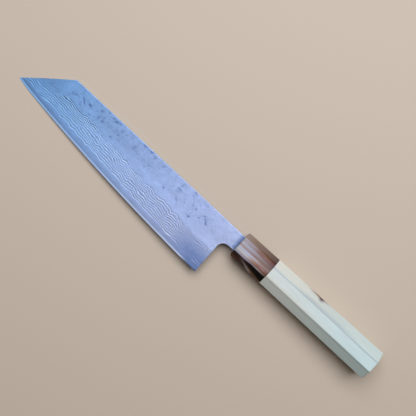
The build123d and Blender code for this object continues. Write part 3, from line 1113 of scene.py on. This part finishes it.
@dataclass(frozen=True)
class Steel:
    """Satin steel with a blue cast that deepens towards the tip."""

    name: str
    # The blue colour along the blade, darker towards the tip: partly the steel's tint, partly a painted
    # reflection.
    cast: Tones = tones((0.0, 95, 140, 194), (0.22, 114, 154, 205), (0.55, 146, 171, 219),
                        (0.8, 161, 178, 224), (1.0, 172, 186, 227))
    layered: bool = False
    line_light: float = 0.58
    line_dark: float = 0.42
    line_tint: Colour = (1.19, 1.06, 0.87, 1.0)
    cloudiness: float = 0.10
    roughness: float = 0.36
    metallic: float = 0.82
    # Painted highlight: the pale colours that the polished borders are painted with.
    polished: Tones = tones((0.0, 131, 186, 241), (0.3, 170, 202, 252), (0.6, 196, 214, 255),
                            (1.0, 206, 219, 255))
    patch: Colour = srgb(129, 154, 212)
    pitted: Colour = srgb(78, 100, 148)
    blade_length: float = 221.7
    relief: float = 0.02

    def material(self) -> Material:
        """The steel's nodes."""
        graph = Graph(bpy.data.materials.new(self.name))
        point = graph.place()
        along, _, _ = graph.axes(point)
        reach = (along + self.blade_length) / self.blade_length
        cast = graph.blend(graph.kept("blue"), graph.ramp(reach, self.cast), self.patch)
        scratches = graph.noise(point, (0.35, 9.0, 9.0)) - 0.5
        cloud = graph.noise(point, (0.11, 0.16, 0.16), 3.0, 0.6) - 0.5
        shade = graph.kept("tone") + scratches * 0.10 + cloud * self.cloudiness
        rim = graph.kept("rim")
        roughness = self.roughness + scratches * 0.12 - rim * 0.12
        relief = scratches * 0.35 + 0.5
        if self.layered:
            lines, strength = self._lines(graph, point)
            shade = shade + strength * (lines * (self.line_light + self.line_dark) - self.line_dark)
            grain = graph.noise(point, (1.1, 1.1, 1.1), 4.0, 0.7)
            mottle = graph.noise(point, (0.26, 0.32, 0.32), 4.0, 0.65, 0.8) - 0.5
            fine = (grain - 0.5) * (1.0 - strength)
            shade = shade + fine * 0.3 + mottle * (1.0 - strength) * 0.3
            roughness = roughness + strength * lines * 0.08 + fine * 0.12
            relief = relief + strength * lines * 0.3 + fine * 0.5
        colour = graph.brightened(cast, shade)
        if self.layered:
            colour = graph.blend((strength * lines).held(), colour, self.line_tint, "MULTIPLY")
            broken = graph.noise(point, (1.2, 1.8, 1.8), 3.0, 0.6, 1.2).rise(0.42, 0.56)
            pit = graph.kept("pit") * (0.45 + broken)
            colour = graph.blend((pit * 0.72).held(), colour, self.pitted)
            roughness = roughness + pit * 0.15
        # Polished borders get pale colour and less metal: a painted highlight.
        colour = graph.blend(rim.held(), colour, graph.ramp(reach, self.polished))
        settings = {"Base Color": colour, "Metallic": self.metallic - rim * 0.8, "Roughness": roughness}
        return graph.finish(settings, relief, self.relief)

    def _lines(self, graph: Graph, point: Socket) -> tuple[Value, Value]:
        """Where the face cuts the bright layers, one thin line in each layer counted, and their strength."""
        waver = graph.noise(point, (0.9, 1.6, 1.6)) - 0.5
        turn = (graph.kept("layer") + waver * 0.35) * math.tau
        lines = (turn.sine() * 0.5 + 0.5).rise(0.3, 0.95)
        patchy = graph.noise(point, (0.2, 0.4, 0.4)).rise(0.3, 0.62)
        return lines, (graph.kept("contrast") * (0.32 + patchy * 0.72)).held()


@dataclass(frozen=True)
class Streak:
    """A streak along the horn: a bell across it, whose middle drifts, with its colours along it.

    Colours stand at shares of the ferrule's length. begins is the share by which it has faded in.
    """

    place: float
    width: float
    colours: Tones
    drift: float = 0.0
    begins: float = 0.0

    def over(self, graph: Graph, under: Socket, share: Value, across: Value,
             uneven: Value) -> Socket:
        """The colour under it with the streak laid over it, as far as an uneven strength allows."""
        weight = (across - share * self.drift).bell(self.place, self.width) * uneven
        if self.begins:
            weight = weight * share.rise(self.begins * 0.4, self.begins)
        return graph.blend(weight.held(), under, graph.ramp(share, self.colours))


@dataclass(frozen=True)
class Horn:
    """Polished marbled horn: near black to brown, with orange and pale streaks along its length."""

    # The pale lavender at the front of the top flat and its streaks is partly the horn's colour, partly a
    # painted reflection.
    top: Tones = tones((0.0, 174, 170, 180), (0.3, 160, 152, 164), (0.5, 150, 134, 138), (0.7, 136, 114, 112),
                       (0.95, 112, 90, 88))
    streaks: tuple[Streak, ...] = (
        Streak(6.1, 0.8, tones((0.0, 176, 172, 180), (0.3, 162, 154, 166), (0.53, 153, 128, 114),
                               (0.75, 141, 108, 96), (0.95, 116, 82, 80))),
        Streak(4.6, 1.2, tones((0.0, 158, 151, 160), (0.3, 141, 128, 138), (0.5, 121, 80, 73),
                               (0.8, 110, 69, 63), (1.0, 72, 38, 40))),
        Streak(2.7, 0.6, tones((0.0, 180, 184, 202), (0.3, 170, 174, 202), (0.55, 156, 148, 160),
                               (0.8, 142, 122, 120), (1.0, 112, 90, 92))),
        Streak(0.5, 0.6, tones((0.0, 164, 134, 122), (0.3, 152, 126, 126), (0.5, 133, 97, 94),
                               (0.8, 136, 104, 94), (1.0, 120, 104, 100))),
        Streak(-1.65, 1.0, tones((0.0, 182, 186, 202), (0.3, 184, 192, 222), (0.53, 182, 174, 185),
                                 (0.75, 163, 136, 130), (1.0, 140, 116, 114)), drift=0.75),
        Streak(-3.4, 0.95, tones((0.0, 188, 186, 190), (0.33, 192, 190, 196), (0.52, 170, 128, 110),
                                 (0.68, 143, 93, 72), (0.82, 152, 116, 114), (1.0, 110, 62, 46))),
        Streak(-4.7, 0.62, tones((0.5, 144, 116, 104), (0.75, 108, 66, 40), (1.0, 84, 44, 20)), begins=0.64),
        # Painted highlight: a pale lavender line along the rounded lower arris.
        Streak(-5.6, 0.6, tones((0.0, 196, 200, 226), (0.3, 196, 194, 218), (0.53, 158, 150, 168),
                                (0.75, 174, 162, 166), (1.0, 118, 90, 70))),
        Streak(7.2, 0.7, tones((0.5, 110, 80, 62), (0.75, 92, 58, 34), (1.0, 58, 28, 16)), begins=0.7))
    upper: Tones = tones((0.0, 151, 133, 124), (0.3, 136, 115, 102), (0.55, 125, 105, 99),
                         (0.75, 114, 93, 83), (1.0, 92, 76, 72))
    lower: Tones = tones((0.1, 44, 26, 22), (0.31, 68, 45, 41), (0.5, 26, 13, 12), (0.62, 8, 4, 3),
                         (0.8, 2, 1, 1))
    marbled: Tones = tones((0.1, 18, 13, 12), (0.4, 70, 48, 41), (0.6, 112, 82, 70), (0.9, 158, 138, 132))
    rim_brown: Colour = srgb(100, 64, 40)
    # Painted highlight: a pale streak on the lower flat.
    painted_glint: Colour = srgb(152, 142, 144)
    length: float = 32.0
    gloss: float = 0.27
    coat: float = 0.1
    coat_roughness: float = 0.08
    relief: float = 0.012

    def material(self) -> Material:
        """The horn's nodes: streaks on the upper flats, black and brown on the lower, marbled beneath."""
        graph = Graph(bpy.data.materials.new("marbled_horn"))
        point = graph.place()
        along, across, up = graph.axes(point)
        share = along / self.length
        broad = graph.noise(point, (0.035, 0.50, 0.50))
        fine = graph.noise(point, (0.07, 1.6, 1.6), 3.0, 0.6)
        wander = across + (graph.noise(point, (0.09, 0.25, 0.25)) - 0.5)
        uneven = graph.noise(point, (0.10, 1.1, 1.1)).rise(0.2, 0.45) * 0.35 + 0.65
        top, upper = graph.ramp(share, self.top), graph.ramp(share, self.upper)
        colour = graph.blend(across.rise(6.5, 7.1), top, upper)
        for streak in self.streaks:
            colour = streak.over(graph, colour, share, wander, uneven)
        rear = (across + along * 0.17).fade(-6.6, -5.4) * share.rise(0.4, 0.55)
        front = across.fade(-10.0, -8.6) * share.fade(0.08, 0.3) * 0.75
        brown = ((rear + front) * (0.5 + fine * 0.7)).held()
        low = graph.blend(brown, graph.ramp(share, self.lower), self.rim_brown)
        # Painted highlight: a pale streak slanting across the lower flat.
        painted_glint = (across + along * 0.3).bell(-5.4, 0.75) * along.rise(6.0, 18.0) * along.fade(20.0, 25.0)
        low = graph.blend((painted_glint * uneven).held(), low, self.painted_glint)
        border = across + share.bell(0.3, 0.15) * 0.3 - share.bell(0.56, 0.12) * 0.35
        border = border - share.rise(0.93, 1.0) * 0.25
        colour = graph.blend(border.fade(-6.5, -6.1), colour, low)
        marbled = graph.ramp(((broad - 0.5) * 1.5 + (fine - 0.5) * 1.1 + 0.45).held(), self.marbled)
        colour = graph.blend(up.rise(-2.5, 1.5), marbled, colour)
        settings = {"Base Color": graph.brightened(colour, 0.84 + fine * 0.36),
                    "Roughness": 0.24 + fine * 0.1, "Specular IOR Level": self.gloss,
                    "Coat Weight": self.coat, "Coat Roughness": self.coat_roughness}
        return graph.finish(settings, fine * 0.4 + broad * 0.3, self.relief)


@dataclass(frozen=True)
class PaleWood:
    """Bare pale wood, planed and sanded: close straight grain, a grey vein and one small knot."""

    light: Colour = srgb(224, 231, 232)
    butt_light: Colour = srgb(210, 236, 241)
    dark: Colour = srgb(196, 204, 204)
    warm: Colour = srgb(218, 216, 203)
    vein: Colour = srgb(172, 184, 192)
    # Painted shade: the lower flat, which faces away from the lamp, is tinted darker and warmer.
    painted_shade_tint: Colour = (1.0, 0.985, 0.93, 1.0)
    flank_tint: Colour = (0.96, 0.935, 0.91, 1.0)
    # Painted shade: a dark strip on the top flat along the lower arris.
    painted_arris_shade: Colour = (0.52, 0.51, 0.50, 1.0)
    knot_rim: Colour = srgb(128, 102, 84)
    knot_halo: Colour = srgb(156, 148, 154)
    knot_core: Colour = srgb(92, 80, 84)
    ring_spacing: float = 1.15
    vein_place: float = 6.9
    knot_place: tuple[float, float, float] = (76.4, 11.7, 4.3)
    knot_size: tuple[float, float, float] = (2.3, 2.9, 2.4)
    knot_reach: float = 8.0
    length: float = 140.2
    relief: float = 0.03

    def material(self) -> Material:
        """The wood's nodes."""
        graph = Graph(bpy.data.materials.new("pale_wood"))
        point = graph.place()
        along, across, up = graph.axes(point)
        drift = graph.noise(point, (0.012, 0.09, 0.09)) - 0.5
        fibres = graph.noise(point, (0.07, 2.6, 2.6), 3.0, 0.6)
        streaks = graph.noise(point, (0.02, 0.55, 0.55))
        pores = graph.noise(point, (0.6, 2.2, 2.2), 2.0, 0.7)
        butt = along.rise(20.0, self.length)
        far = [(axis - middle) / size
               for axis, middle, size in zip((along, across, up), self.knot_place, self.knot_size)]
        knot_far = (far[0] * far[0] + far[1] * far[1] + far[2] * far[2]) ** 0.5
        beside_knot = along.bell(self.knot_place[0], self.knot_reach) * across.rise(9.0, 12.5)
        growth = across + up * 0.25 + drift * 5.0 + beside_knot * 1.2
        rings = ((growth * (math.tau / self.ring_spacing)).sine() * 0.5 + 0.5).rise(0.3, 1.0)
        light = graph.blend(butt, self.light, self.butt_light)
        colour = graph.blend((rings * 0.22 + (fibres - 0.5) * 1.8 + 0.12).held(), light, self.dark)
        flank = across.rise(4.8, 6.4) * up.rise(-2.0, 3.0)
        cream = (streaks * 1.7 - 0.4) * (1.0 - along.rise(60.0, 110.0) * 0.7)
        colour = graph.blend((flank * cream).held(), colour, self.warm)
        vein = self._vein(graph, point, along, across, up) * (0.5 + streaks * 0.7)
        colour = graph.blend(vein.held(), colour, self.vein)
        # Painted shade: the lower flat, facing away from the lamp, is tinted warmer and painted darker
        # towards the butt.
        low = (across + along * 0.003).fade(-5.3, -4.8)
        colour = graph.blend(low, colour, self.painted_shade_tint, "MULTIPLY")
        colour = graph.blend(flank * butt, colour, self.flank_tint, "MULTIPLY")
        # Painted shade: a dark strip on the top flat just above the lower arris.
        line = (across + along * 0.0055).fade(-4.35, -3.95) * (across + along * 0.0032).rise(-5.1, -4.8)
        colour = graph.blend(line * up.rise(5.0, 8.0), colour, self.painted_arris_shade, "MULTIPLY")
        by_arris = across.bell(-3.8, 1.6) * up.rise(5.0, 8.0) * along.fade(60.0, 115.0)
        colour = graph.blend(by_arris * 0.45, colour, self.warm)
        halo = knot_far.fade(0.8, 1.9) * 0.75
        colour = graph.blend((halo * (0.4 + fibres)).held(), colour, self.knot_halo)
        border = along.bell(self.knot_place[0] - 2.5, self.knot_reach) * across.rise(10.4, 11.4)
        border = border * up.bell(3.6, 1.9) * 1.25
        colour = graph.blend((border * (0.4 + fibres * 0.9)).held(), colour, self.knot_rim)
        colour = graph.blend((knot_far.fade(0.35, 1.0) * (0.6 + pores * 0.6)).held(), colour, self.knot_core)
        # The rounded corners are painted lighter: a painted highlight.
        shade = 1.0 + (streaks - 0.5) * 0.10 + (pores - 0.5) * 0.18 + graph.kept("arris") * 0.10
        # Painted shade: a dark line just below the lower arris, stronger towards the butt.
        painted_shade_under_arris = (across + along * 0.003).bell(-5.45, 0.5) * (0.12 + butt * 0.12)
        shade = shade - low * (butt * 0.2 + painted_shade_under_arris)
        shade = shade - flank * (butt * 0.02 + along.bell(88.0, 20.0) * 0.06)
        settings = {"Base Color": graph.brightened(colour, shade), "Roughness": 0.55 + (fibres - 0.5) * 0.2}
        return graph.finish(settings, fibres * 0.5 + pores * 0.3 + rings * 0.2, self.relief)

    def _vein(self, graph: Graph, point: Socket, along: Value, across: Value, up: Value) -> Value:
        """The grey vein by the upper arris: a crisp lower border, and a soft upper one that widens."""
        waver = graph.noise(point, (0.045, 0.0, 0.0)) - 0.5
        by_butt = along.rise(95.0, 125.0)
        far = across + up * 0.25 + waver * 1.2 + by_butt * 0.5 - self.vein_place
        width = 1.2 + along.rise(48.0, 72.0) * 1.6
        strength = (1.0 - by_butt * 0.35) * up.rise(3.0, 7.0)
        return far.rise(-0.8, 0.0) * (far / width).fade(0.1, 1.0) * strength


@dataclass(frozen=True)
class Filling:
    """Set resin or wax in the ferrule's mouth and round the tang: matt, a little mottled."""

    name: str
    colour: Colour
    deep: Colour
    relief: float = 0.03

    def material(self) -> Material:
        """The filling's nodes."""
        graph = Graph(bpy.data.materials.new(self.name))
        mottle = graph.noise(graph.place(), (0.9, 0.9, 0.9), 3.0, 0.6)
        colour = graph.blend(mottle, self.deep, self.colour)
        return graph.finish({"Base Color": colour, "Roughness": 0.55 + mottle * 0.2}, mottle, self.relief)


@dataclass(frozen=True)
class Fillings:
    """The two fillings, which keep their solids: bedding round the tang and the seal at the mouth."""

    bedding: Filling = Filling("bedding_resin", srgb(150, 128, 96), srgb(112, 92, 66))
    seal: Filling = Filling("seal_wax", srgb(38, 34, 38), srgb(18, 16, 18))

    def build(self, nodes: Mapping[str, Piece]) -> list[Piece]:
        """Gives the two solids their materials."""
        fillings = {"tang_bedding": self.bedding, "mouth_seal": self.seal}
        for node, filling in fillings.items():
            nodes[node].material_slots[0].material = filling.material()
        return [nodes[node] for node in fillings]


# Studio

@dataclass(frozen=True)
class Studio:
    """A plain pale table, a large soft lamp beyond the spine, and a camera above.

    The backdrop is what polished faces mirror, and the wall is what the camera sees behind the
    table. The backdrop begins and ends over two spans of height, as sines of the angle above the
    table. Over the distances in far, in metres from the middle, the table takes the wall's colour
    for the camera, and for it alone.
    """

    floor_size: float = 6.0
    floor_points: int = 5
    floor_colour: Colour = srgb(206, 191, 176)
    floor_roughness: float = 0.6
    sky: Colour = (1.0, 0.70, 0.52, 1.0)
    sky_strength: float = 0.06
    backdrop: Colour = (0.33, 0.33, 0.34, 1.0)
    backdrop_begins: tuple[float, float] = (0.14, 0.38)
    backdrop_ends: tuple[float, float] = (0.65, 0.85)
    wall: Colour = (0.46, 0.40, 0.345, 1.0)
    black: Colour = (0.0, 0.0, 0.0, 1.0)
    far: tuple[float, float] = (0.25, 0.95)
    softbox_place: tuple[float, float, float] = (-0.2, 0.63, 1.36)
    softbox_size: tuple[float, float] = (1.8, 1.25)
    softbox_power: float = 26.8
    softbox_colour: tuple[float, float, float] = (0.985, 1.0, 1.01)
    camera_place: tuple[float, float, float] = (0.006469, 0.001970, 0.541519)
    camera_turn: tuple[float, float, float] = (1.50528, -0.86181, 42.63525)
    lens: float = 57.9665
    sensor: float = 36.0
    clip: tuple[float, float] = (0.01, 20.0)

    def build(self) -> None:
        """Sets up table, sky, lamp and camera."""
        self._table()
        self._sky()
        self._softbox()
        self._camera()

    def _table(self) -> None:
        """The table: a square grid of points at height zero."""
        side = np.linspace(-self.floor_size / 2, self.floor_size / 2, self.floor_points)
        x, y = np.meshgrid(side, side)
        points = np.stack([x.ravel(), y.ravel(), np.zeros(x.size)], 1)
        faces = quads(np.arange(x.size).reshape(x.shape)).reshape(-1, 4)
        mesh = bpy.data.meshes.new("table")
        mesh.from_pydata(points.tolist(), [], faces.tolist())
        mesh.materials.append(self._table_finish())
        table = bpy.data.objects.new("table", mesh)
        bpy.context.scene.collection.objects.link(table)

    def _table_finish(self) -> Material:
        """Plain paint that turns into the wall's colour far from the knife, where the camera sees it."""
        graph = Graph(bpy.data.materials.new("plain_table"))
        east, north, _ = graph.axes(graph.node("ShaderNodeTexCoord").outputs["Object"])
        distance = (east * east + north * north) ** 0.5
        seen = Value(graph, graph.node("ShaderNodeLightPath").outputs["Is Camera Ray"])
        share = seen * distance.rise(*self.far)
        paint = graph.finish({"Base Color": graph.blend(share, self.floor_colour, self.black),
                              "Roughness": self.floor_roughness,
                              "Emission Color": graph.blend(share, self.black, self.wall),
                              "Emission Strength": 1.0})
        paint.cycles.emission_sampling = "NONE"
        return paint

    def _sky(self) -> None:
        """An even dim sky, a pale backdrop for polished faces to mirror, and a wall for the camera."""
        graph = Graph(bpy.data.worlds.new("sky"))
        rays = graph.node("ShaderNodeLightPath").outputs
        height = graph.axes(graph.node("ShaderNodeTexCoord").outputs["Generated"])[2]
        band = height.rise(*self.backdrop_begins) * height.fade(*self.backdrop_ends)
        sky = [self.sky_strength * part for part in self.sky[:3]] + [1.0]
        colour = graph.blend(band * Value(graph, rays["Is Glossy Ray"]), sky, self.backdrop)
        colour = graph.blend(Value(graph, rays["Is Camera Ray"]), colour, self.wall)
        background = graph.node("ShaderNodeBackground", None, {"Color": colour, "Strength": 1.0})
        graph.node("ShaderNodeOutputWorld", None, {"Surface": background.outputs["Background"]})
        bpy.context.scene.world = graph.owner

    def _softbox(self) -> None:
        """A broad rectangular lamp beyond the spine that faces the knife."""
        lamp = bpy.data.lights.new("softbox", "AREA")
        lamp.shape, lamp.energy, lamp.color = "RECTANGLE", self.softbox_power, self.softbox_colour
        lamp.size, lamp.size_y = self.softbox_size
        x, y, z = self.softbox_place
        holder = bpy.data.objects.new("softbox", lamp)
        holder.location = self.softbox_place
        holder.rotation_euler = (math.atan2(math.hypot(x, y), z), 0.0, math.atan2(y, x) + math.pi / 2)
        bpy.context.scene.collection.objects.link(holder)

    def _camera(self) -> None:
        """The camera, almost straight above and turned so that the knife lies aslant."""
        lens = bpy.data.cameras.new("camera")
        lens.lens, lens.sensor_width = self.lens, self.sensor
        lens.clip_start, lens.clip_end = self.clip
        camera = bpy.data.objects.new("camera", lens)
        camera.location = self.camera_place
        camera.rotation_euler = [math.radians(angle) for angle in self.camera_turn]
        bpy.context.scene.collection.objects.link(camera)
        bpy.context.scene.camera = camera


def main() -> None:
    """Builds the knife round its solids, piece by piece, and reports each one."""
    logging.basicConfig(level=logging.INFO, format="%(name)s: %(message)s")
    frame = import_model()
    bpy.context.scene.view_settings.view_transform = "Standard"
    Studio().build()
    core_steel = Steel("core_steel", CORE_CAST, cloudiness=0.32).material()
    layered_steel = Steel("layered_steel", layered=True).material()
    pieces = [*Blade().build(core_steel, layered_steel), *Ferrule().build(Horn().material()),
              *Handle().build(PaleWood().material()), *Fillings().build(frame["nodes"])]
    for piece in pieces:
        material = piece.material_slots[0].material
        LOG.info("%s: %d faces, finish %s", piece.name, len(piece.data.polygons), material.name)


if __name__ == "__main__":
    main()
